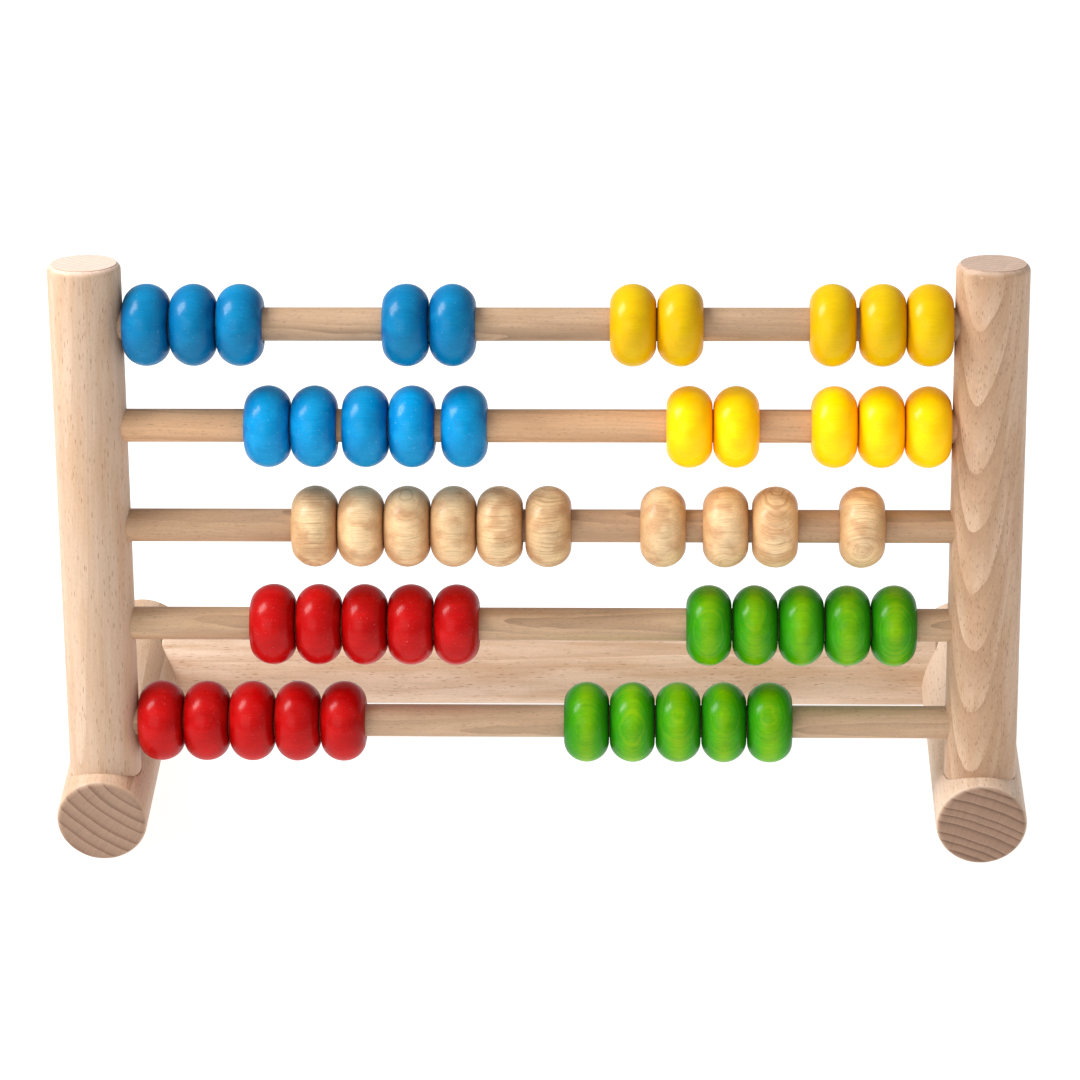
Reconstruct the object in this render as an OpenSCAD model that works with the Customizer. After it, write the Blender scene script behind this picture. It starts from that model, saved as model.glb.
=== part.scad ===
// Counting frame: two leaning posts on two feet, a rear rail and five rods with ten sliding beads each.
// X runs along the rods, Y from front to back, Z up.
// The origin is on the standing surface, in the middle of the footprint.

/* [Frame] */
// Distance between the centre lines of the two posts
post_spacing = 350; // [340:2:400]
// Diameter of the posts and of the rear rail
post_d = 28.5; // [26:0.5:31]
// Length of a post from its seat in the foot to its top
post_len = 211; // [206:1:240]
// Angle by which the posts lean back
lean = 9.2; // [0:0.2:14]
// Diameter of the feet
foot_d = 36; // [34:0.5:42]
// Length of the feet
foot_len = 154; // [130:2:190]
// Width of the flat planed under each foot
flat_w = 9; // [5:0.5:14]
// Distance from the front end of a foot to the middle of its post
post_setback = 20.7; // [19:0.1:30]
// Distance from the rear end of a foot to the middle of the rear rail
rail_setback = 30; // [20:1:40]

/* [Rounded edges] */
// Radius of the edge at the top of a post
top_round = 2.8; // [1:0.2:5]
// Radius of the edges at both ends of a foot
foot_round = 2.2; // [1:0.2:4]
// Radius of the edge of a post or of the rail where it sits in a foot
seat_round = 1.6; // [0.6:0.2:2.4]

/* [Glued joints] */
// Diameter of the turned tenons on the posts and on the rail
tenon_d = 16; // [12:0.5:18]
// Length of the turned tenons
tenon_len = 12; // [8:1:14]
// Depth to which a rod is let into a post
rod_socket = 10; // [6:1:16]

/* [Rods] */
// Diameter of the rods
rod_d = 13; // [10:0.5:14]
// Distance along the post from its seat to the lowest rod
lowest_rod = 22.6; // [20:0.2:26]
// Distance between two neighbouring rods along the post
rod_pitch = 41; // [37:0.2:43]

/* [Beads] */
// Largest diameter of a bead
bead_d = 32; // [28:0.5:34]
// Thickness of a bead along its rod
bead_w = 17.9; // [15:0.1:20]
// Radius of the rounded rim of a bead
bead_round = 7.6; // [5:0.2:7.6]
// Difference between the diameters of the bore of a bead and of the rod
bore_play = 0.8; // [0.7:0.1:1.6]
// Width of the chamfer around the bore
bore_chamfer = 0.6; // [0.2:0.1:1]
// Air between two beads that rest side by side, or between a bead and a post
side_play = 0.3; // [0.3:0.05:0.6]

/* [Hidden] */
$fn = 96;
ROWS = 5;
BEADS_PER_ROW = 10;
BEADS_PER_COLOUR = 5;
ROW_COLOURS = [
    ["blue", "yellow"],
    ["blue", "yellow"],
    ["natural", "natural"],
    ["red", "green"],
    ["red", "green"],
];
// Where the beads rest, for each row from the top and from left to right: runs of
// [beads side by side, length of bare rod before them in per cent of all the bare rod]
RESTING_RUNS = [
    [[3, 0], [2, 33], [2, 37], [1, 29.1], [2, 0.7]],
    [[2, 33], [2, 1.3], [1, 1.6], [2, 49.8], [3, 14.2]],
    [[5, 45.5], [1, 0.6], [1, 19.2], [1, 4.5], [1, 0.8], [1, 11.4]],
    [[5, 32.9], [5, 58.5]],
    [[5, 0], [5, 56.6]],
];
BEECH = "burlywood";
RING_SHADE = "tan";
SOCKET_OVERRUN = 20;
DOWEL_CHAMFER = 0.8;

post_r = post_d / 2;
foot_r = foot_d / 2;
bead_r = bead_d / 2;
bore_r = (rod_d + bore_play) / 2;
foot_axis_z = sqrt(pow(foot_r, 2) - pow(flat_w / 2, 2));
// A seat is a flat-bottomed pocket just deep enough for the whole end of a post or of the rail
seat_offset = sqrt(pow(foot_r, 2) - pow(post_r, 2));
post_y = post_setback - foot_len / 2;
rail_y = foot_len / 2 - rail_setback;
seat_z = foot_axis_z + seat_offset;
rail_len = post_spacing - 2 * seat_offset;
rod_len = post_spacing - post_d + 2 * rod_socket;
bead_pitch = bead_w + side_play;
first_bead_x = (post_d - post_spacing + bead_pitch + side_play) / 2;
bare_rod = post_spacing - post_d - BEADS_PER_ROW * bead_pitch - side_play;

function sum_to(list, last, i = 0) = i > last ? 0 : list[i] + sum_to(list, last, i + 1);
function colour_of(row, bead) = ROW_COLOURS[row][bead < BEADS_PER_COLOUR ? 0 : 1];
function rod_name(row) = str("row", row + 1, "_rod");
function bead_name(row, bead) = str("row", row + 1, "_", colour_of(row, bead), "_bead_", bead + 1);
// Distance of a row from the seat, along the post
function row_height(row) = lowest_rod + (ROWS - 1 - row) * rod_pitch;
// Number of the run in which a bead rests
function run_of(row, bead, run = 0) =
    bead < sum_to([for (r = RESTING_RUNS[row]) r[0]], run) ? run : run_of(row, bead, run + 1);
function bead_x(row, bead) =
    first_bead_x + bead * bead_pitch
    + bare_rod * sum_to([for (r = RESTING_RUNS[row]) r[1]], run_of(row, bead)) / 100;

// Solid of revolution about Z from z = 0 up to the length, with a rounded edge at each end
module turned_bar(radius, length, round_bottom, round_top) {
    rotate_extrude() {
        translate([0, round_bottom])
            square([radius, length - round_bottom - round_top]);
        square([radius - round_bottom, length]);
        translate([0, length - round_top])
            square([radius - round_top, round_top]);
        intersection() {
            translate([radius - round_bottom, round_bottom])
                circle(r = round_bottom);
            square([radius, length]);
        }
        intersection() {
            translate([radius - round_top, length - round_top])
                circle(r = round_top);
            square([radius, length]);
        }
    }
}

// Turned tenon that runs down from z = 0, with a chamfered end
module tenon() {
    translate([0, 0, DOWEL_CHAMFER - tenon_len])
        cylinder(d = tenon_d, h = tenon_len - DOWEL_CHAMFER);
    translate([0, 0, -tenon_len])
        cylinder(d1 = tenon_d - 2 * DOWEL_CHAMFER, d2 = tenon_d, h = DOWEL_CHAMFER);
}

// Space cut from a foot for the end of a post or of the rail, seat at z = 0
module seat_and_socket() {
    cylinder(r = post_r, h = SOCKET_OVERRUN);
    translate([0, 0, -tenon_len])
        cylinder(d = tenon_d, h = tenon_len);
}

// Places its children at the seat of the post on side -1 (left) or 1 (right), upright along the post
module at_post(side) {
    translate([side * post_spacing / 2, post_y, seat_z])
        rotate([-lean, 0, 0])
            children();
}

// Places its children in the middle of a row, with Z along the rod
module at_row(row) {
    translate([0, post_y, seat_z])
        rotate([-lean, 0, 0])
            translate([0, 0, row_height(row)])
                rotate([0, 90, 0])
                    children();
}

module post(side) {
    color(BEECH)
        difference() {
            at_post(side) {
                turned_bar(post_r, post_len, seat_round, top_round);
                tenon();
            }
            for (row = [0 : ROWS - 1])
                at_row(row)
                    cylinder(d = rod_d, h = rod_len, center = true);
        }
}

module foot(side) {
    color(RING_SHADE)
        difference() {
            translate([side * post_spacing / 2, -foot_len / 2, foot_axis_z])
                rotate([-90, 0, 0])
                    turned_bar(foot_r, foot_len, foot_round, foot_round);
            translate([side * post_spacing / 2, 0, -foot_r])
                cube([foot_d, foot_len + foot_d, foot_d], center = true);
            at_post(side)
                seat_and_socket();
            translate([side * rail_len / 2, rail_y, foot_axis_z])
                rotate([0, -side * 90, 0])
                    seat_and_socket();
        }
}

module rear_rail() {
    color(BEECH)
        translate([0, rail_y, foot_axis_z])
            rotate([0, 90, 0]) {
                translate([0, 0, -rail_len / 2]) {
                    turned_bar(post_r, rail_len, seat_round, seat_round);
                    tenon();
                }
                translate([0, 0, rail_len / 2])
                    rotate([180, 0, 0])
                        tenon();
            }
}

module rod(row) {
    color(BEECH)
        at_row(row)
            cylinder(d = rod_d, h = rod_len, center = true);
}

// Half of the outline of a bead, which is turned about the rod
module bead_outline() {
    half_w = bead_w / 2;
    difference() {
        union() {
            translate([0, -half_w])
                square([bead_r - bead_round, bead_w]);
            translate([0, bead_round - half_w])
                square([bead_r, bead_w - 2 * bead_round]);
            for (end = [-1, 1])
                translate([bead_r - bead_round, end * (half_w - bead_round)])
                    circle(r = bead_round);
        }
        translate([-bead_r, -bead_w])
            square([bead_r + bore_r, 2 * bead_w]);
        for (end = [-1, 1])
            polygon([
                [bore_r - bore_chamfer, end * half_w],
                [bore_r + bore_chamfer, end * half_w],
                [bore_r - bore_chamfer, end * (half_w - 2 * bore_chamfer)],
            ]);
    }
}

module bead(row, bead) {
    shade = colour_of(row, bead);
    color(shade == "natural" ? "wheat" : shade)
        at_row(row)
            translate([0, 0, bead_x(row, bead)])
                rotate_extrude()
                    bead_outline();
}

post(-1);  // left_post
post(1);  // right_post
foot(-1);  // left_foot
foot(1);  // right_foot
rear_rail();
for (row = [0 : ROWS - 1]) {
    rod(row);
    for (bead = [0 : BEADS_PER_ROW - 1])
        bead(row, bead);
}
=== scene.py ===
"""Looks of a wooden counting frame: raw beech, lacquered beads, and the studio it stands in."""

import logging
import math
import random
from dataclasses import dataclass
from enum import Enum
from typing import Any

import bmesh
import bpy
from mathutils import Euler, Matrix, Vector


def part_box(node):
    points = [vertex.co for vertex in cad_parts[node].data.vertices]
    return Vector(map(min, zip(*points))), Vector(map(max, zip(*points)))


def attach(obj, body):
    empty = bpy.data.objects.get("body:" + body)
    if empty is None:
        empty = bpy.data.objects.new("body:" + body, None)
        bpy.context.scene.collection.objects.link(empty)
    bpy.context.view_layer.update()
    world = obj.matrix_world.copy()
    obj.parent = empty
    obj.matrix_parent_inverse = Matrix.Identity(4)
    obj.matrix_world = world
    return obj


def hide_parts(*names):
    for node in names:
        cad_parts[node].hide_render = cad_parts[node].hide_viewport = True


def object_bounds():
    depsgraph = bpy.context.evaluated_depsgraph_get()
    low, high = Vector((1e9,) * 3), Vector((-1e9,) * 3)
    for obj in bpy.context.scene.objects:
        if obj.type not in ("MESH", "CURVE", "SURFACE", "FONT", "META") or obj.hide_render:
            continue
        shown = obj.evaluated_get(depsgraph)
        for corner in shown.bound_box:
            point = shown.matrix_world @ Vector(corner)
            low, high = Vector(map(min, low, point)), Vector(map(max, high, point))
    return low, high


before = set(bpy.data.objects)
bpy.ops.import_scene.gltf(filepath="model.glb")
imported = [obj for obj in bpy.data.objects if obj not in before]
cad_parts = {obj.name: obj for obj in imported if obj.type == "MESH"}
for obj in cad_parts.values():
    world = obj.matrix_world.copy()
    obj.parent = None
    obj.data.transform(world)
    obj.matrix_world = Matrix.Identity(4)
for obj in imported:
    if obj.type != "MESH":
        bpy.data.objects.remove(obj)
cad_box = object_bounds()

log = logging.getLogger("counting_frame")

Colour = tuple[int, int, int]
Range = tuple[float, float]
Point = tuple[float, float]
Triple = tuple[float, float, float]
Socket = bpy.types.NodeSocket

MM = 0.001
PER_METRE = 1 / MM
WHITE: Colour = (255, 255, 255)
FULL = 255
# The standard curve of a display: a straight foot, then a power
CURVE_FOOT = 0.04045
CURVE_FOOT_SLOPE = 12.92
CURVE_LIFT = 0.055
CURVE_POWER = 2.4
# Colours of heartwood lose green and blue a little faster than red as they darken
GREEN_LOSS = 0.02
BLUE_LOSS = 0.04
# Values between which most of a noise lies
NOISE_SWING: Range = (0.3, 0.7)
WIDE_SWING: Range = (0.2, 0.8)
# What is written on each point of a bead
LOG_ATTRIBUTE = "log"
TONE_ATTRIBUTE = "tone"
FIGURE_ATTRIBUTE = "figure"


def linear(colour: Colour) -> tuple[float, float, float, float]:
    """Turn a display colour into the light that it stands for.

    Args:
        colour: red, green and blue from 0 to 255.

    Returns:
        Red, green, blue and a full alpha, from 0 to 1.
    """
    def channel(value: int) -> float:
        """One channel as light.

        Args:
            value: the channel from 0 to 255.

        Returns:
            Its light from 0 to 1.
        """
        share = value / FULL
        if share <= CURVE_FOOT:
            return share / CURVE_FOOT_SLOPE
        return ((share + CURVE_LIFT) / (1 + CURVE_LIFT)) ** CURVE_POWER

    return (*(channel(value) for value in colour), 1.0)


def darker(colour: Colour, share: float) -> Colour:
    """Darken a colour of wood.

    Args:
        colour: the colour to start from.
        share: how much of its red stays.

    Returns:
        The darker colour, a little warmer than the first.
    """
    red, green, blue = colour
    return (round(red * share), round(green * (share - GREEN_LOSS)),
            round(blue * (share - BLUE_LOSS)))


class Sheet:
    """The node tree of one material, which is filled in step by step."""

    def __init__(self, material: bpy.types.Material) -> None:
        """Start from an empty tree.

        Args:
            material: the material that the nodes are for.
        """
        material.use_nodes = True
        self.tree = material.node_tree
        self.tree.nodes.clear()

    def add(self, kind: str, **settings: Any) -> bpy.types.Node:
        """Add a node.

        Args:
            kind: the node's type, without its ShaderNode prefix.
            settings: properties to set on it.

        Returns:
            The new node.
        """
        node = self.tree.nodes.new("ShaderNode" + kind)
        for name, value in settings.items():
            setattr(node, name, value)
        return node

    def feed(self, socket: Socket, source: Any) -> None:
        """Link a socket to another one, or set its value.

        Args:
            socket: the input to feed.
            source: the output to link, or the value to set.
        """
        if isinstance(source, bpy.types.NodeSocket):
            self.tree.links.new(source, socket)
        else:
            socket.default_value = source

    def maths(self, operation: str, *inputs: Socket | float) -> Socket:
        """Work out a number.

        Args:
            operation: the node's operation.
            inputs: the numbers that it takes, in order.

        Returns:
            The number.
        """
        node = self.add("Math", operation=operation)
        for socket, source in zip(node.inputs, inputs):
            self.feed(socket, source)
        return node.outputs[0]

    def product(self, *factors: Socket | float) -> Socket:
        """Multiply numbers.

        Args:
            factors: two numbers or more.

        Returns:
            Their product.
        """
        result = factors[0]
        for factor in factors[1:]:
            result = self.maths("MULTIPLY", result, factor)
        return result

    def vector(self, operation: str, *inputs: Any, output: str = "Vector") -> Socket:
        """Work out a vector, or a number from vectors.

        Args:
            operation: the node's operation.
            inputs: the vectors that it takes, in order.
            output: the name of the output to read.

        Returns:
            That output.
        """
        node = self.add("VectorMath", operation=operation)
        for socket, source in zip(node.inputs, inputs):
            self.feed(socket, source)
        return node.outputs[output]

    def scaled(self, vector: Socket, factor: Socket | float) -> Socket:
        """Multiply a vector or a colour by a number.

        Args:
            vector: the vector or colour.
            factor: the number.

        Returns:
            The product.
        """
        node = self.add("VectorMath", operation="SCALE")
        self.feed(node.inputs[0], vector)
        self.feed(node.inputs["Scale"], factor)
        return node.outputs["Vector"]

    def turned(self, vector: Socket, turn: Matrix) -> Socket:
        """Turn a vector about the origin.

        Args:
            vector: the vector.
            turn: the turn.

        Returns:
            The turned vector.
        """
        node = self.add("VectorRotate", rotation_type="EULER_XYZ")
        self.feed(node.inputs["Vector"], vector)
        self.feed(node.inputs["Rotation"], turn.to_euler())
        return node.outputs["Vector"]

    def split(self, vector: Socket) -> tuple[Socket, Socket, Socket]:
        """Take a vector apart.

        Args:
            vector: the vector.

        Returns:
            Its X, Y and Z.
        """
        node = self.add("SeparateXYZ")
        self.feed(node.inputs[0], vector)
        return node.outputs["X"], node.outputs["Y"], node.outputs["Z"]

    def noise(self, place: Socket, pace: Triple | None = None, detail: float = 2.0,
              output: str = "Fac") -> Socket:
        """Smooth random values.

        Args:
            place: where on the pattern each point lies.
            pace: how many cells of the pattern fit into one unit along X, Y and Z.
            detail: how many finer layers are laid over the first.
            output: the name of the output to read.

        Returns:
            Values from 0 to 1.
        """
        node = self.add("TexNoise", noise_dimensions="3D")
        self.feed(node.inputs["Vector"], self.vector("MULTIPLY", place, pace) if pace else place)
        self.feed(node.inputs["Scale"], 1.0)
        self.feed(node.inputs["Detail"], detail)
        return node.outputs[output]

    def banded(self, value: Socket, pace: float, detail: float = 2.0) -> Socket:
        """Smooth random values along one number.

        Args:
            value: the number.
            pace: how many cells of the pattern fit into one unit.
            detail: how many finer layers are laid over the first.

        Returns:
            Values from 0 to 1.
        """
        node = self.add("TexNoise", noise_dimensions="1D")
        self.feed(node.inputs["W"], self.product(value, pace))
        self.feed(node.inputs["Scale"], 1.0)
        self.feed(node.inputs["Detail"], detail)
        return node.outputs["Fac"]

    def spread(self, value: Socket, source: Range, target: Range = (0.0, 1.0),
               smooth: bool = False) -> Socket:
        """Stretch a number from one range to another, and hold it there.

        Args:
            value: the number.
            source: the two values that become the ends of the target.
            target: the two ends.
            smooth: whether it eases in and out.

        Returns:
            The stretched number.
        """
        kind = "SMOOTHSTEP" if smooth else "LINEAR"
        node = self.add("MapRange", interpolation_type=kind, clamp=True)
        for name, number in zip(("From Min", "From Max", "To Min", "To Max"), source + target):
            self.feed(node.inputs[name], number)
        self.feed(node.inputs["Value"], value)
        return node.outputs["Result"]

    def blend(self, share: Socket, first: Socket | Colour, second: Socket | Colour) -> Socket:
        """Blend two colours.

        Args:
            share: how much of the second colour shows, from 0 to 1.
            first: the first colour.
            second: the second colour.

        Returns:
            The blend.
        """
        node = self.add("Mix", data_type="RGBA", blend_type="MIX", clamp_factor=True)
        inputs = {socket.identifier: socket for socket in node.inputs}
        outputs = {socket.identifier: socket for socket in node.outputs}
        self.feed(inputs["Factor_Float"], share)
        for name, colour in (("A_Color", first), ("B_Color", second)):
            self.feed(inputs[name], linear(colour) if isinstance(colour, tuple) else colour)
        return outputs["Result_Color"]

    def relief(self, height: Socket, strength: float, depth: float) -> Socket:
        """Raise and sink a surface a little.

        Args:
            height: how high each point lies.
            strength: how much of the relief shows, from 0 to 1.
            depth: what one unit of height stands for, in metres.

        Returns:
            The normals of the relief.
        """
        node = self.add("Bump")
        self.feed(node.inputs["Strength"], strength)
        self.feed(node.inputs["Distance"], depth)
        self.feed(node.inputs["Height"], height)
        return node.outputs["Normal"]

    def surface(self, inputs: dict[str, Any]) -> None:
        """Make the shader and the output.

        Args:
            inputs: what each named input of the shader takes.
        """
        shader = self.add("BsdfPrincipled")
        for name, source in inputs.items():
            self.feed(shader.inputs[name], source)
        output = self.add("OutputMaterial")
        self.feed(output.inputs["Surface"], shader.outputs["BSDF"])


@dataclass(frozen=True)
class LogPlace:
    """Where a piece was cut from its log.

    The pith of the log is its Z axis. Lengths are in mm and angles in degrees.
    """

    pith_distance: float
    pith_bearing: float
    tilt: float
    tilt_bearing: float
    along: float

    def turn(self) -> Matrix:
        """The small turn from the piece's own axis to the grain of the log."""
        bearing = Matrix.Rotation(math.radians(self.tilt_bearing), 3, "Z")
        return bearing @ Matrix.Rotation(math.radians(self.tilt), 3, "Y") @ bearing.transposed()

    def offset(self) -> Vector:
        """Find the middle of the piece, seen from the pith.

        Returns:
            The middle, in mm.
        """
        bearing = math.radians(self.pith_bearing)
        outward = -self.pith_distance * Vector((math.cos(bearing), math.sin(bearing), 0))
        return outward + Vector((0, 0, self.along))


@dataclass(frozen=True)
class Marks:
    """The marks of the grain on each point of a piece.

    lateness runs from 0 to 1 through each growth ring, radius is the distance from the pith in
    mm, and bands, fibres and drift are random values from 0 to 1.
    """

    lateness: Socket
    bands: Socket
    radius: Socket
    fibres: Socket
    drift: Socket


@dataclass(frozen=True)
class LogPattern:
    """The figure of a wood, which turns places in the log into the marks of the grain.

    Sizes are in mm, and a pace is the number of cells of a random pattern in one mm.
    """

    ring_width: float = 2.7
    ring_variety: float = 0.3
    variety_per_ring: float = 0.6
    waviness: float = 0.8
    warp_pace: Triple = (0.07, 0.07, 0.011)
    band_pace: float = 2.4
    fibre_pace: Triple = (2.4, 2.4, 0.07)
    drift_pace: Triple = (0.16, 0.16, 0.022)
    pore_pace: Triple = (3.6, 3.6, 0.8)
    pore_edge: Range = (0.5, 0.72)
    fleck_size: Triple = (0.5, 0.7, 4.2)
    fleck_share: float = 0.44
    fleck_luck: Range = (0.15, 1.0)
    ray_size: Triple = (0.55, 9.0, 30.0)
    usual_radius: float = 60.0

    def marks(self, sheet: Sheet, place: Socket) -> Marks:
        """Work out the marks that every finish uses.

        Args:
            sheet: where the nodes go.
            place: the place in the log, in mm.

        Returns:
            The marks.
        """
        warp = sheet.noise(place, self.warp_pace, output="Color")
        centred = sheet.vector("SUBTRACT", warp, (0.5, 0.5, 0.5))
        reach = 2 * self.waviness
        bent = sheet.vector("ADD", place, sheet.vector("MULTIPLY", centred, (reach, reach, 0.0)))
        across = sheet.vector("MULTIPLY", bent, (1.0, 1.0, 0.0))
        radius = sheet.vector("LENGTH", across, output="Value")
        count = sheet.maths("DIVIDE", radius, self.ring_width)
        uneven = sheet.product(sheet.banded(count, self.variety_per_ring), 2 * self.ring_variety)
        return Marks(
            lateness=sheet.maths("FRACT", sheet.maths("ADD", count, uneven)),
            bands=sheet.banded(radius, self.band_pace, detail=3.0),
            radius=radius,
            fibres=sheet.noise(place, self.fibre_pace, detail=3.0),
            drift=sheet.noise(place, self.drift_pace),
        )

    def pores(self, sheet: Sheet, place: Socket) -> Socket:
        """Fine open pores.

        Args:
            sheet: where the nodes go.
            place: the place in the log, in mm.

        Returns:
            1 in the middle of a pore and 0 outside.
        """
        return sheet.spread(sheet.noise(place, self.pore_pace, detail=1.0), self.pore_edge)

    def around_pith(self, sheet: Sheet, place: Socket, radius: Socket, cell: Triple) -> Socket:
        """Count cells that are laid out round the pith.

        Args:
            sheet: where the nodes go.
            place: the place in the log, in mm.
            radius: the distance from the pith, in mm.
            cell: the size of a cell round the pith, outward and along the grain, in mm.

        Returns:
            How many cells lie round the pith, outward and along the grain.
        """
        x, y, z = sheet.split(place)
        width, depth, length = cell
        counts = (sheet.product(sheet.maths("ARCTAN2", y, x), self.usual_radius / width),
                  sheet.maths("DIVIDE", radius, depth),
                  sheet.maths("DIVIDE", z, length))
        joined = sheet.add("CombineXYZ")
        for socket, source in zip(joined.inputs, counts):
            sheet.feed(socket, source)
        return joined.outputs[0]

    def rays(self, sheet: Sheet, place: Socket, radius: Socket) -> Socket:
        """Rays on end grain: thin pale and dark lines that run out from the pith.

        Args:
            sheet: where the nodes go.
            place: the place in the log, in mm.
            radius: the distance from the pith, in mm.

        Returns:
            Values from 0, dark, to 1, pale.
        """
        return sheet.noise(self.around_pith(sheet, place, radius, self.ray_size), detail=1.0)

    def flecks(self, sheet: Sheet, place: Socket, radius: Socket, growth: float) -> Socket:
        """Rays on the sides: short dashes along the grain.

        Args:
            sheet: where the nodes go.
            place: the place in the log, in mm.
            radius: the distance from the pith, in mm.
            growth: how many times longer and wider than usual the dashes are.

        Returns:
            1 inside a dash and 0 outside.
        """
        width, depth, length = self.fleck_size
        cell = (growth * width, growth * depth, growth * length)
        cells = sheet.add("TexVoronoi", voronoi_dimensions="3D", feature="F1")
        sheet.feed(cells.inputs["Vector"], self.around_pith(sheet, place, radius, cell))
        sheet.feed(cells.inputs["Scale"], 1.0)
        luck, _, _ = sheet.split(cells.outputs["Color"])
        reach = sheet.spread(luck, self.fleck_luck, (0.0, self.fleck_share))
        inside = sheet.maths("SUBTRACT", reach, cells.outputs["Distance"])
        return sheet.spread(inside, (0.0, self.fleck_share / 2), smooth=True)


@dataclass(frozen=True)
class BeechFinish:
    """Raw beech, sanded and left bare, as on the posts, feet, rail and rods.

    early and late are the two ends of a growth ring on a side, end_early and end_late the same on
    end grain, warm is a tone that drifts in and out, and fleck is a ray. A level multiplies the
    colour, and a share is how much of another colour shows.
    """

    name: str
    place: LogPlace
    early: Colour = (212, 182, 156)
    late: Colour = (184, 147, 116)
    warm: Colour = (202, 165, 132)
    fleck: Colour = (150, 104, 70)
    end_early: Colour = (236, 208, 190)
    end_late: Colour = (212, 180, 160)
    pattern: LogPattern = LogPattern()
    ring_contrast: float = 0.8
    ring_rise: Range = (0.15, 1.0)
    flat_sawn_edge: Range = (0.6, 0.97)
    quarter_sawn_share: float = 0.16
    warm_edge: Range = (0.42, 0.62)
    warm_share: float = 0.7
    end_edge: Range = (0.35, 0.99)
    end_ring_rise: Range = (0.1, 1.0)
    end_ring_share: float = 0.4
    end_line_rise: Range = (0.62, 0.98)
    end_line_share: float = 0.5
    fibre_levels: Range = (0.93, 1.05)
    band_levels: Range = (0.97, 1.03)
    ray_levels: Range = (0.93, 1.06)
    pore_level: float = 0.88
    long_fleck_growth: float = 1.9
    long_fleck_share: float = 0.3
    fleck_share: float = 0.6
    end_fleck_share: float = 0.12
    fibre_height: float = 0.35
    fleck_depth: float = 0.5
    pore_depth: float = 0.4
    relief_strength: float = 0.35
    relief_unit: float = 0.12 * MM
    roughness: Range = (0.47, 0.61)
    refraction: float = 1.45

    def material(self, axis: Matrix, middle: Vector) -> bpy.types.Material:
        """Make the material for one piece.

        Args:
            axis: the turn that brings the piece's own axis to Z.
            middle: the middle of the piece, in metres.

        Returns:
            The material.
        """
        made = bpy.data.materials.new(self.name)
        sheet = Sheet(made)
        coordinates = sheet.add("TexCoord")
        normal = coordinates.outputs["Normal"]
        place = self.log_place(sheet, coordinates.outputs["Object"], axis, middle)
        marks = self.pattern.marks(sheet, place)
        pores = self.pattern.pores(sheet, place)
        flecks = self.flecks(sheet, place, marks)
        end = self.end_grain(sheet, normal, axis)

        side = self.side_tone(sheet, marks, self.flat_sawn(sheet, normal, place, axis))
        tone = sheet.blend(end, side, self.end_tone(sheet, place, marks))
        level = sheet.product(sheet.spread(marks.fibres, NOISE_SWING, self.fibre_levels),
                              sheet.spread(marks.bands, NOISE_SWING, self.band_levels),
                              sheet.spread(pores, (0.0, 1.0), (1.0, self.pore_level)))
        fleck_share = sheet.spread(end, (0.0, 1.0), (self.fleck_share, self.end_fleck_share))
        tone = sheet.blend(sheet.product(flecks, fleck_share), sheet.scaled(tone, level), self.fleck)

        height = sheet.product(marks.fibres, self.fibre_height)
        height = sheet.maths("SUBTRACT", height, sheet.product(flecks, self.fleck_depth))
        height = sheet.maths("SUBTRACT", height, sheet.product(pores, self.pore_depth))
        sheet.surface({
            "Base Color": tone,
            "Roughness": sheet.spread(marks.fibres, WIDE_SWING, self.roughness),
            "Normal": sheet.relief(height, self.relief_strength, self.relief_unit),
            "IOR": self.refraction,
        })
        return made

    def log_place(self, sheet: Sheet, source: Socket, axis: Matrix, middle: Vector) -> Socket:
        """Find each point's place in the log.

        Args:
            sheet: where the nodes go.
            source: the point on the piece, in metres.
            axis: the turn that brings the piece's own axis to Z.
            middle: the middle of the piece, in metres.

        Returns:
            The place in the log, in mm.
        """
        centred = sheet.vector("SUBTRACT", source, tuple(middle))
        turned = sheet.turned(sheet.scaled(centred, PER_METRE), self.place.turn() @ axis)
        return sheet.vector("ADD", turned, tuple(self.place.offset()))

    def flecks(self, sheet: Sheet, place: Socket, marks: Marks) -> Socket:
        """Lay long faint flecks under the usual ones.

        Args:
            sheet: where the nodes go.
            place: the place in the log, in mm.
            marks: the marks of the grain there.

        Returns:
            1 inside a usual fleck, the share of the long ones inside those, and 0 outside.
        """
        usual = self.pattern.flecks(sheet, place, marks.radius, 1.0)
        long = self.pattern.flecks(sheet, place, marks.radius, self.long_fleck_growth)
        return sheet.maths("MAXIMUM", usual, sheet.product(long, self.long_fleck_share))

    def flat_sawn(self, sheet: Sheet, normal: Socket, place: Socket, axis: Matrix) -> Socket:
        """Find how clearly the rings show, which is most where a surface runs along them.

        Args:
            sheet: where the nodes go.
            normal: the normal of the surface.
            place: the place in the log, in mm.
            axis: the turn that brings the piece's own axis to Z.

        Returns:
            How clearly they show, up to 1.
        """
        outward = sheet.vector("NORMALIZE", sheet.vector("MULTIPLY", place, (1.0, 1.0, 0.0)))
        facing = sheet.vector("DOT_PRODUCT", sheet.turned(normal, axis), outward, output="Value")
        return sheet.spread(sheet.maths("ABSOLUTE", facing), self.flat_sawn_edge,
                            (self.quarter_sawn_share, 1.0))

    def end_grain(self, sheet: Sheet, normal: Socket, axis: Matrix) -> Socket:
        """Find how squarely a surface cuts across the grain.

        Args:
            sheet: where the nodes go.
            normal: the normal of the surface.
            axis: the turn that brings the piece's own axis to Z.

        Returns:
            1 on end grain and 0 on a side.
        """
        grain = axis.transposed() @ Vector((0, 0, 1))
        across = sheet.vector("DOT_PRODUCT", normal, tuple(grain), output="Value")
        return sheet.spread(sheet.maths("ABSOLUTE", across), self.end_edge, smooth=True)

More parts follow.
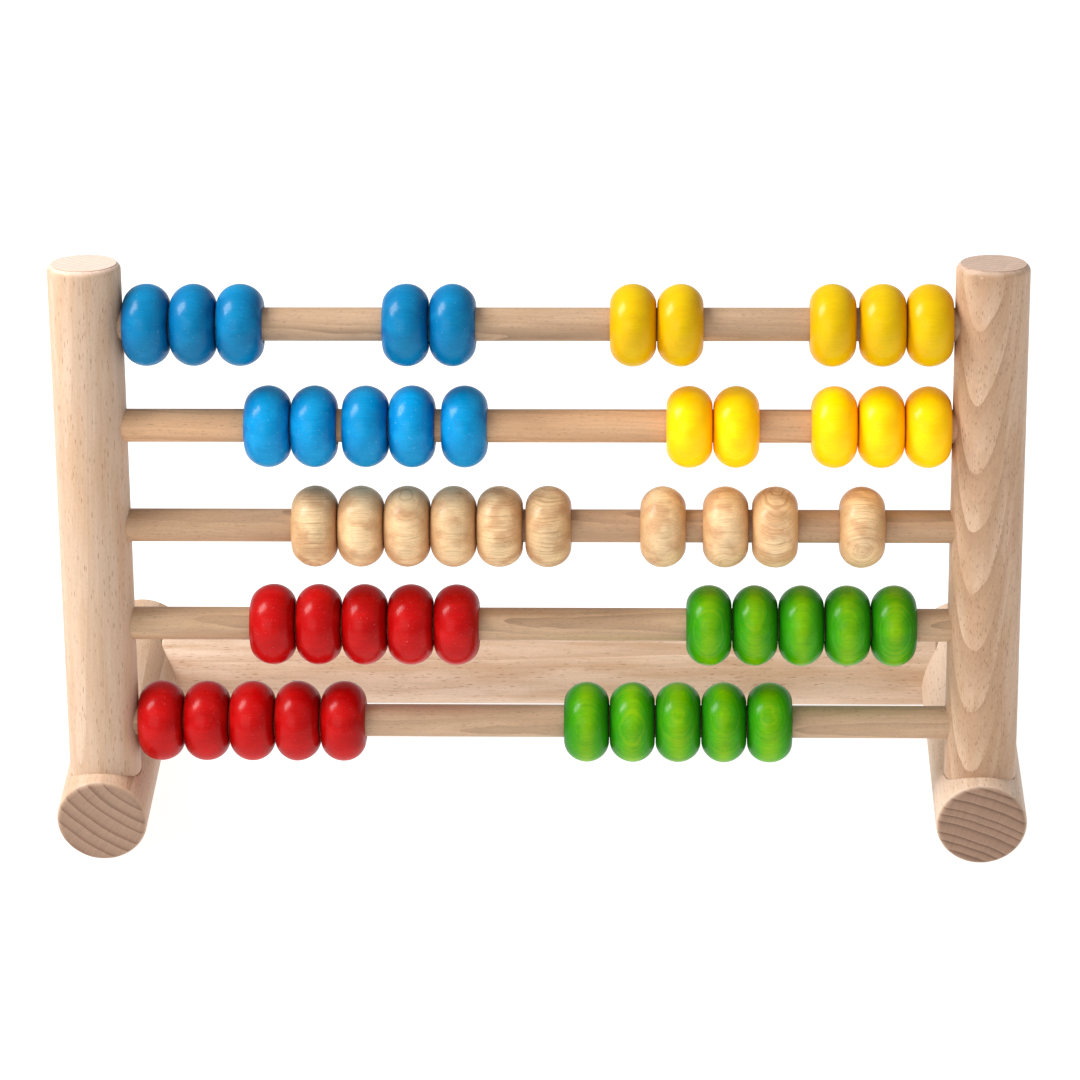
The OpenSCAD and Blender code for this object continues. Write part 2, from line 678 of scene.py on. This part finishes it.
    def side_tone(self, sheet: Sheet, marks: Marks, flat_sawn: Socket) -> Socket:
        """Colour the sides.

        Args:
            sheet: where the nodes go.
            marks: the marks of the grain.
            flat_sawn: how clearly the rings show.

        Returns:
            The colour.
        """
        late = sheet.spread(marks.lateness, self.ring_rise, (0.0, self.ring_contrast))
        tone = sheet.blend(sheet.product(late, flat_sawn), self.early, self.late)
        warmth = sheet.spread(marks.drift, self.warm_edge, (0.0, self.warm_share))
        return sheet.blend(warmth, tone, self.warm)

    def end_tone(self, sheet: Sheet, place: Socket, marks: Marks) -> Socket:
        """Colour the end grain.

        Args:
            sheet: where the nodes go.
            place: the place in the log, in mm.
            marks: the marks of the grain there.

        Returns:
            The colour.
        """
        ring = sheet.spread(marks.lateness, self.end_ring_rise, (0.0, self.end_ring_share))
        line = sheet.spread(marks.lateness, self.end_line_rise, (0.0, self.end_line_share),
                            smooth=True)
        tone = sheet.blend(sheet.maths("ADD", ring, line), self.end_early, self.end_late)
        rays = self.pattern.rays(sheet, place, marks.radius)
        return sheet.scaled(tone, sheet.spread(rays, NOISE_SWING, self.ray_levels))


@dataclass(frozen=True)
class BeadFinish:
    """Stain under a satin lacquer. The cut ends of the grain drink more stain than the crest.

    The name is the material slot's too. crest, body and ends are the colours from the middle of
    the rim to the flat sides, ring is a growth ring and patch a thin or thick place in the stain.
    """

    name: str
    crest: Colour
    body: Colour
    ends: Colour
    ring: Colour
    patch: Colour
    ring_share: float
    patch_share: float
    streaks: float
    scuffs: float
    bearing: float = 40.0
    bearing_spread: float = 180.0
    variety: float = 0.04
    pattern: LogPattern = LogPattern(ring_width=1.7, ring_variety=0.6, waviness=1.5,
                                     warp_pace=(0.12, 0.12, 0.05))
    crest_edge: Range = (0.55, 0.05)
    crest_share: float = 0.6
    ends_edge: Range = (0.45, 1.0)
    patch_pace: Triple = (0.13, 0.13, 0.09)
    patch_edge: Range = (0.44, 0.66)
    line_rise: Range = (0.55, 1.0)
    line_share: float = 0.6
    band_edge: Range = (0.45, 0.7)
    band_share: float = 0.5
    line_fade: Range = (0.8, 0.2)
    line_left: float = 0.2
    streak_gain: float = 0.6
    drift_edge: Range = (0.35, 0.65)
    scuff_pace: Triple = (1.1, 1.1, 1.6)
    scuff_edge: Range = (0.66, 0.74)
    relief_strength: float = 0.25
    relief_unit: float = 0.06 * MM
    roughness: Range = (0.39, 0.52)
    refraction: float = 1.1
    coat: float = 0.27
    coat_roughness: float = 0.22

    def material(self) -> bpy.types.Material:
        """Make the material, which every bead of this finish shares.

        Returns:
            The material.
        """
        made = bpy.data.materials.new(self.name)
        sheet = Sheet(made)
        place = sheet.add("Attribute", attribute_name=LOG_ATTRIBUTE).outputs["Vector"]
        marks = self.pattern.marks(sheet, place)
        stained = self.stain(sheet, place, marks)
        scuffs = sheet.spread(sheet.noise(place, self.scuff_pace, detail=3.0), self.scuff_edge,
                              (0.0, self.scuffs))
        tone = sheet.scaled(sheet.blend(scuffs, stained, WHITE), self.level(sheet, marks))
        sheet.surface({
            "Base Color": tone,
            "Roughness": sheet.spread(marks.drift, WIDE_SWING, self.roughness),
            "Normal": sheet.relief(marks.fibres, self.relief_strength, self.relief_unit),
            "IOR": self.refraction,
            "Coat Weight": self.coat,
            "Coat Roughness": self.coat_roughness,
        })
        return made

    def stain(self, sheet: Sheet, place: Socket, marks: Marks) -> Socket:
        """Colour the stain, with its patches and growth rings.

        Args:
            sheet: where the nodes go.
            place: the place in the log, in mm.
            marks: the marks of the grain there.

        Returns:
            The colour.
        """
        normal = sheet.add("TexCoord").outputs["Normal"]
        figure = sheet.add("Attribute", attribute_name=FIGURE_ATTRIBUTE).outputs["Fac"]
        sideways = sheet.vector("DOT_PRODUCT", normal, (1.0, 0.0, 0.0), output="Value")
        sideways = sheet.maths("ABSOLUTE", sideways)
        on_crest = sheet.spread(sideways, self.crest_edge, (0.0, self.crest_share), smooth=True)
        tone = sheet.blend(on_crest, self.body, self.crest)
        tone = sheet.blend(sheet.spread(sideways, self.ends_edge), tone, self.ends)
        patches = sheet.spread(sheet.noise(place, self.patch_pace), self.patch_edge,
                               (0.0, self.patch_share), smooth=True)
        tone = sheet.blend(patches, tone, self.patch)
        line = sheet.product(sheet.spread(marks.lateness, self.line_rise, smooth=True),
                             self.line_share)
        line = sheet.maths("ADD", line,
                           sheet.spread(marks.bands, self.band_edge, (0.0, self.band_share)))
        fade = sheet.spread(sideways, self.line_fade, (self.line_left, 1.0))
        return sheet.blend(sheet.product(line, fade, figure, self.ring_share), tone, self.ring)

    def level(self, sheet: Sheet, marks: Marks) -> Socket:
        """Work out how light each point is: streaks, slow drift and the tone of the whole bead.

        Args:
            sheet: where the nodes go.
            marks: the marks of the grain.

        Returns:
            A number to multiply the colour by.
        """
        of_bead = sheet.add("Attribute", attribute_name=TONE_ATTRIBUTE).outputs["Fac"]
        low = 1 - self.streaks
        high = 1 + self.streak_gain * self.streaks
        return sheet.product(sheet.spread(marks.fibres, NOISE_SWING, (low, high)),
                             sheet.spread(marks.drift, self.drift_edge, (low, 1.0)),
                             of_bead)


class BeadColour(Enum):
    """The colours that the beads come in, with the finish of each."""

    BLUE = BeadFinish("blue_lacquer", crest=(0, 136, 190), body=(0, 126, 184), ends=(0, 90, 152),
                      ring=(30, 168, 222), patch=(24, 152, 204), ring_share=0.12,
                      patch_share=0.3, streaks=0.10, scuffs=0.09)
    YELLOW = BeadFinish("yellow_lacquer", crest=(255, 214, 0), body=(255, 204, 0),
                        ends=(240, 170, 0), ring=(255, 226, 60), patch=(246, 184, 0),
                        ring_share=0.08, patch_share=0.35, streaks=0.06, scuffs=0.05)
    NATURAL = BeadFinish("clear_lacquer", crest=(255, 222, 174), body=(253, 213, 162),
                         ends=(212, 162, 110), ring=(176, 120, 72), patch=(206, 150, 104),
                         ring_share=0.62, patch_share=0.6, streaks=0.14, scuffs=0.0,
                         bearing=-42.0, bearing_spread=52.0, variety=0.08,
                         pattern=LogPattern(ring_width=1.9, ring_variety=0.9, waviness=1.3,
                                            warp_pace=(0.12, 0.12, 0.07)))
    RED = BeadFinish("red_lacquer", crest=(199, 6, 6), body=(192, 3, 4), ends=(158, 2, 2),
                     ring=(226, 60, 56), patch=(214, 30, 26), ring_share=0.10,
                     patch_share=0.3, streaks=0.12, scuffs=0.06)
    GREEN = BeadFinish("green_stain", crest=(120, 184, 0), body=(60, 164, 0), ends=(0, 108, 14),
                       ring=(186, 206, 0), patch=(24, 146, 8), ring_share=0.26,
                       patch_share=0.35, streaks=0.12, scuffs=0.02, crest_share=0.95,
                       bearing=62.0, bearing_spread=24.0)

    @classmethod
    def of_node(cls, node: str) -> "BeadColour":
        """The colour that a bead's node is named after."""
        return cls[node.split("_")[1].upper()]


@dataclass(frozen=True)
class HandTurning:
    """How much one bead differs from the next, as the two ends of each difference.

    The sizes of the bead are in metres. Places in its log are in mm, and angles in degrees.
    """

    flat_radius: Range = (-0.4 * MM, 0.4 * MM)
    roundness: Range = (-0.07, 0.05)
    lost_radius: Range = (0.0, 0.08 * MM)
    crest_shift: Range = (-0.35 * MM, 0.35 * MM)
    pith_distance: Range = (22, 60)
    tilt: Range = (0, 4)
    tilt_bearing: Range = (0, 360)
    along: Range = (-400, 400)
    figure: Range = (0.35, 1.1)


@dataclass
class Bead:
    """One turned bead, which stands for its node in the frame.

    hang is how far it sinks until it rests on its rod, and dark_side is how many times further
    the tone of a bead may fall than rise.
    """

    node: str
    luck: random.Random
    row_tone: float
    bore_radius: float = 6.9 * MM
    chamfer: float = 0.6 * MM
    flat_radius: float = 8.0 * MM
    roundness: float = 1.95
    hang: float = 0.35 * MM
    dark_side: float = 1.5
    rim_steps: int = 22
    segments: int = 112
    sharp_edge: float = math.radians(32)
    turning: HandTurning = HandTurning()

    def __post_init__(self) -> None:
        """Read the bead's place and size off its node, and vary it as hand turning does."""
        low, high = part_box(self.node)
        self.finish = BeadColour.of_node(self.node).value
        self.centre = (low + high) / 2 - Vector((0, 0, self.hang))
        self.half_width = (high.x - low.x) / 2
        self.radius = (high.z - low.z) / 2
        self.flat_radius += self.luck.uniform(*self.turning.flat_radius)
        self.roundness += self.luck.uniform(*self.turning.roundness)
        self.radius -= self.luck.uniform(*self.turning.lost_radius)
        self.crest_shift = self.luck.uniform(*self.turning.crest_shift)

    def rim(self) -> list[Point]:
        """The rounded rim, from one flat side over the crest to the other.

        Returns:
            Its points as (radius, distance along the rod).
        """
        power = 2 / self.roundness
        rise = self.radius - self.flat_radius
        halves = []
        for side in (1, -1):
            reach = self.half_width - side * self.crest_shift
            half = []
            for step in range(self.rim_steps):
                turn = 0.5 * math.pi * step / self.rim_steps
                half.append((self.flat_radius + rise * math.sin(turn) ** power,
                             side * reach * math.cos(turn) ** power + self.crest_shift))
            halves.append(half)
        there, back = halves
        return [*there, (self.radius, self.crest_shift), *reversed(back)]

    def outline(self) -> list[Point]:
        """Half of the cut through the bead.

        Returns:
            A closed ring of (radius, distance along the rod).
        """
        mouth = self.bore_radius + self.chamfer
        inner = self.half_width - self.chamfer
        return [*self.rim(), (mouth, -self.half_width), (self.bore_radius, -inner),
                (self.bore_radius, inner), (mouth, self.half_width)]

    def build(self) -> bpy.types.Object:
        """Turn the outline about the rod, and note where the wood came from in its log.

        Returns:
            The bead, in its place.
        """
        shape = bmesh.new()
        outline = self.outline()
        turns = [2 * math.pi * step / self.segments for step in range(self.segments)]
        loops = [
            [shape.verts.new((along, radius * math.cos(turn), radius * math.sin(turn)))
             for radius, along in outline]
            for turn in turns
        ]
        for this, following in zip(loops, loops[1:] + loops[:1]):
            for index in range(len(outline)):
                after = (index + 1) % len(outline)
                face = shape.faces.new((this[index], this[after],
                                        following[after], following[index]))
                face.smooth = True
        bmesh.ops.recalc_face_normals(shape, faces=shape.faces)
        mesh = bpy.data.meshes.new(self.node + "_turned")
        shape.to_mesh(mesh)
        shape.free()
        mesh.set_sharp_from_angle(angle=self.sharp_edge)
        self.mark_wood(mesh)
        piece = bpy.data.objects.new(mesh.name, mesh)
        piece.location = self.centre
        bpy.context.scene.collection.objects.link(piece)
        return piece

    def mark_wood(self, mesh: bpy.types.Mesh) -> None:
        """Write each point's place in the log, in mm, and the tone and figure of the wood.

        Args:
            mesh: the bead's mesh, with its middle at the origin.
        """
        finish = self.finish
        luck = self.luck
        swing = finish.bearing_spread
        cut = LogPlace(pith_distance=luck.uniform(*self.turning.pith_distance),
                       pith_bearing=finish.bearing + luck.uniform(-swing, swing),
                       tilt=luck.uniform(*self.turning.tilt),
                       tilt_bearing=luck.uniform(*self.turning.tilt_bearing),
                       along=luck.uniform(*self.turning.along))
        to_log = cut.turn() @ Matrix.Rotation(math.radians(-90), 3, "Y")
        places = [to_log @ (vertex.co * PER_METRE) + cut.offset() for vertex in mesh.vertices]
        tone = luck.uniform(1 - self.dark_side * finish.variety, 1 + finish.variety) * self.row_tone
        figure = luck.uniform(*self.turning.figure)
        mesh.attributes.new(LOG_ATTRIBUTE, "FLOAT_VECTOR", "POINT")
        for name in (TONE_ATTRIBUTE, FIGURE_ATTRIBUTE):
            mesh.attributes.new(name, "FLOAT", "POINT")
        flat = [number for place in places for number in place]
        mesh.attributes[LOG_ATTRIBUTE].data.foreach_set("vector", flat)
        for name, value in ((TONE_ATTRIBUTE, tone), (FIGURE_ATTRIBUTE, figure)):
            mesh.attributes[name].data.foreach_set("value", [value] * len(places))

    def dress(self, piece: bpy.types.Object, coat: bpy.types.Material) -> None:
        """Lacquer the bead and let it ride its own body.

        Args:
            piece: the turned bead.
            coat: the lacquer.
        """
        piece.data.materials.append(coat)
        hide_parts(self.node)
        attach(piece, self.node)


@dataclass
class Beads:
    """All beads of the frame. row_tones holds the rows that are lighter or darker than usual."""

    seed: int = 41000
    row_tones: tuple[tuple[str, float], ...] = (("row1", 0.85), ("row2", 1.28))

    def nodes(self) -> list[str]:
        """The nodes of the beads, row by row from left to right."""
        beads = (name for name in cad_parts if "_bead_" in name)
        return sorted(beads, key=lambda name: (name.split("_")[0], int(name.split("_")[-1])))

    def build(self) -> None:
        """Make every bead that the frame names, with one material for each colour."""
        coats = {colour: colour.value.material() for colour in BeadColour}
        tones = dict(self.row_tones)
        for number, node in enumerate(self.nodes()):
            tone = tones.get(node.split("_")[0], 1.0)
            bead = Bead(node, random.Random(self.seed + number), tone)
            bead.dress(bead.build(), coats[BeadColour.of_node(node)])
            log.info("%s: turned and lacquered", node)


@dataclass
class WoodenFrame:
    """The glued frame: posts, feet, rear rail and rods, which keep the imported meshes."""

    rod_tones: tuple[Colour, ...] = ((196, 162, 130), (220, 174, 132), (197, 159, 124),
                                     (205, 170, 135), (207, 172, 139))
    rod_late: float = 0.78
    rod_warm: float = 0.92
    rod_fleck: float = 0.72
    rod_distance: float = 60.0
    rod_distance_step: float = 9.0
    rod_bearing: float = 75.0
    rod_bearing_step: float = 40.0
    rod_tilt: float = 1.6
    rod_along_step: float = 700.0

    def lean(self) -> float:
        """How far the posts lean back, as an angle."""
        top, bottom = (sum(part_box(f"row{row}_rod"), Vector()) / 2 for row in (1, 5))
        return math.atan2(top.y - bottom.y, top.z - bottom.z)

    def axis_of(self, node: str) -> Matrix:
        """Find the turn that brings a piece's own axis to Z.

        Args:
            node: the piece's node.

        Returns:
            The turn.
        """
        if node.endswith("post"):
            return Matrix.Rotation(self.lean(), 3, "X")
        if node.endswith("foot"):
            return Matrix.Rotation(math.radians(90), 3, "X")
        return Matrix.Rotation(math.radians(-90), 3, "Y")

    def finishes(self) -> dict[str, BeechFinish]:
        """The finish of each piece, each cut from its own place in a log.

        Returns:
            The finishes by node.
        """
        rods = {f"row{row}_rod": self.rod_finish(row, tone)
                for row, tone in enumerate(self.rod_tones, start=1)}
        return rods | {
            "left_post": BeechFinish(
                "beech_left_post", LogPlace(70, 51, 1.1, 231, 40), ring_contrast=0.4,
                end_early=(240, 212, 196), end_late=(222, 192, 173)),
            "right_post": BeechFinish(
                "beech_right_post", LogPlace(85, 68, 6.6, 248, 300), ring_contrast=0.85,
                early=(211, 177, 148), late=(170, 131, 98), warm=(191, 151, 117),
                fleck=(140, 98, 68), end_early=(216, 187, 167), end_late=(192, 160, 139),
                pattern=LogPattern(ring_width=2.9, fleck_size=(0.42, 0.6, 2.6),
                                   fleck_share=0.5)),
            "left_foot": BeechFinish(
                "beech_left_foot", LogPlace(66, 307, 1.2, 20, 700),
                end_early=(171, 138, 114), end_late=(130, 97, 76),
                pattern=LogPattern(ring_width=5.0)),
            "right_foot": BeechFinish(
                "beech_right_foot", LogPlace(95, 112, 1.0, 60, 900),
                early=(225, 198, 175), late=(203, 171, 145), warm=(214, 182, 155),
                end_early=(165, 131, 108), end_late=(116, 83, 63),
                pattern=LogPattern(ring_width=3.9)),
            "rear_rail": BeechFinish(
                "beech_rear_rail", LogPlace(80, 200, 0.5, 0, 1300), ring_contrast=0.6,
                early=(226, 197, 172), late=(192, 155, 124)),
        }

    def rod_finish(self, row: int, tone: Colour) -> BeechFinish:
        """The finish of one rod.

        Args:
            row: the number of the row, from the top.
            tone: the colour of the early wood.

        Returns:
            The finish, cut from a log of its own.
        """
        bearing = self.rod_bearing + self.rod_bearing_step * row
        place = LogPlace(pith_distance=self.rod_distance + self.rod_distance_step * row,
                         pith_bearing=bearing, tilt=self.rod_tilt, tilt_bearing=bearing,
                         along=self.rod_along_step * row)
        pattern = LogPattern(ring_width=2.0, waviness=1.4, warp_pace=(0.1, 0.1, 0.03),
                             fleck_size=(0.36, 0.6, 2.8), fleck_share=0.42)
        return BeechFinish(f"beech_rod_{row}", place, early=tone,
                           late=darker(tone, self.rod_late), warm=darker(tone, self.rod_warm),
                           fleck=darker(tone, self.rod_fleck), ring_contrast=0.9,
                           pattern=pattern)

    def dress(self) -> None:
        """Give every piece its own beech."""
        for node, finish in self.finishes().items():
            low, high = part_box(node)
            beech = finish.material(self.axis_of(node), (low + high) / 2)
            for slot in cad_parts[node].material_slots:
                slot.material = beech
            log.info("%s: dressed in beech", node)


@dataclass
class Softbox:
    """An oblong lamp that looks at one point. Lengths are in metres."""

    name: str
    direction: Triple
    distance: float
    width: float
    height: float
    power: float

    def build(self, target: Vector) -> None:
        """Hang the lamp and turn it to the target.

        Args:
            target: the point that it looks at.
        """
        lamp = bpy.data.lights.new(self.name, "AREA")
        lamp.shape = "RECTANGLE"
        lamp.size = self.width
        lamp.size_y = self.height
        lamp.energy = self.power
        hung = bpy.data.objects.new(self.name, lamp)
        away = Vector(self.direction).normalized()
        hung.location = target + away * self.distance
        hung.rotation_euler = away.to_track_quat("Z", "Y").to_euler()
        bpy.context.scene.collection.objects.link(hung)
        log.info("%s: hung", self.name)


@dataclass
class Studio:
    """A pale floor that glows like a light table, a dim room and two soft lamps."""

    floor_radius: float = 9.0
    floor_segments: int = 96
    floor_colour: Colour = (150, 150, 150)
    floor_roughness: float = 0.8
    floor_glow: float = 0.88
    room_light: float = 0.45
    lamps: tuple[Softbox, ...] = (
        Softbox("window_left", direction=(-0.69, -0.06, 0.72), distance=1.6, width=0.62,
                height=0.8, power=29.0),
        Softbox("fill_front", direction=(-0.45, -0.80, 0.40), distance=2.0, width=1.6,
                height=1.2, power=8.5),
    )

    def build(self) -> None:
        """Lay the floor, light the room and hang the lamps round the frame."""
        self.lay_floor()
        self.light_room()
        low, high = cad_box
        for lamp in self.lamps:
            lamp.build((low + high) / 2)

    def lay_floor(self) -> None:
        """Lay the floor, which isn't part of the object."""
        shape = bmesh.new()
        bmesh.ops.create_circle(shape, cap_ends=True, segments=self.floor_segments,
                                radius=self.floor_radius)
        mesh = bpy.data.meshes.new("floor")
        shape.to_mesh(mesh)
        shape.free()
        floor = bpy.data.objects.new("floor", mesh)
        bpy.context.scene.collection.objects.link(floor)
        paint = bpy.data.materials.new("pale_floor")
        Sheet(paint).surface({
            "Base Color": linear(self.floor_colour),
            "Roughness": self.floor_roughness,
            "Emission Color": linear(WHITE),
            "Emission Strength": self.floor_glow,
        })
        mesh.materials.append(paint)
        log.info("floor: laid")

    def light_room(self) -> None:
        """Fill the room with plain white light."""
        room = bpy.data.worlds.new("bright_room")
        room.use_nodes = True
        glow = room.node_tree.nodes["Background"]
        glow.inputs["Color"].default_value = linear(WHITE)
        glow.inputs["Strength"].default_value = self.room_light
        bpy.context.scene.world = room
        log.info("room: lit")


@dataclass
class ViewCamera:
    """The camera, above the frame and a little to its right. Angles are in degrees."""

    place: Triple = (52.4 * MM, -1483.0 * MM, 887.5 * MM)
    down: float = 27.82
    left: float = 2.07
    clockwise: float = 0.83
    lens: float = 138.44
    sensor: float = 36.0
    farthest: float = 50.0

    def build(self) -> None:
        """Set the camera up and make it the scene's."""
        data = bpy.data.cameras.new("view")
        data.lens = self.lens
        data.sensor_width = self.sensor
        data.clip_end = self.farthest
        camera = bpy.data.objects.new("view", data)
        facing = (Euler((0, 0, math.radians(self.left))).to_matrix()
                  @ Euler((math.radians(90 - self.down), 0, 0)).to_matrix()
                  @ Euler((0, 0, math.radians(-self.clockwise))).to_matrix())
        camera.matrix_world = Matrix.Translation(self.place) @ facing.to_4x4()
        bpy.context.scene.collection.objects.link(camera)
        bpy.context.scene.camera = camera
        log.info("camera: in place")


def main() -> None:
    """Build the looks, piece by piece."""
    logging.basicConfig(level=logging.INFO, format="%(message)s")
    bpy.context.scene.view_settings.view_transform = "Standard"
    ViewCamera().build()
    Studio().build()
    WoodenFrame().dress()
    Beads().build()


if __name__ == "__main__":
    main()
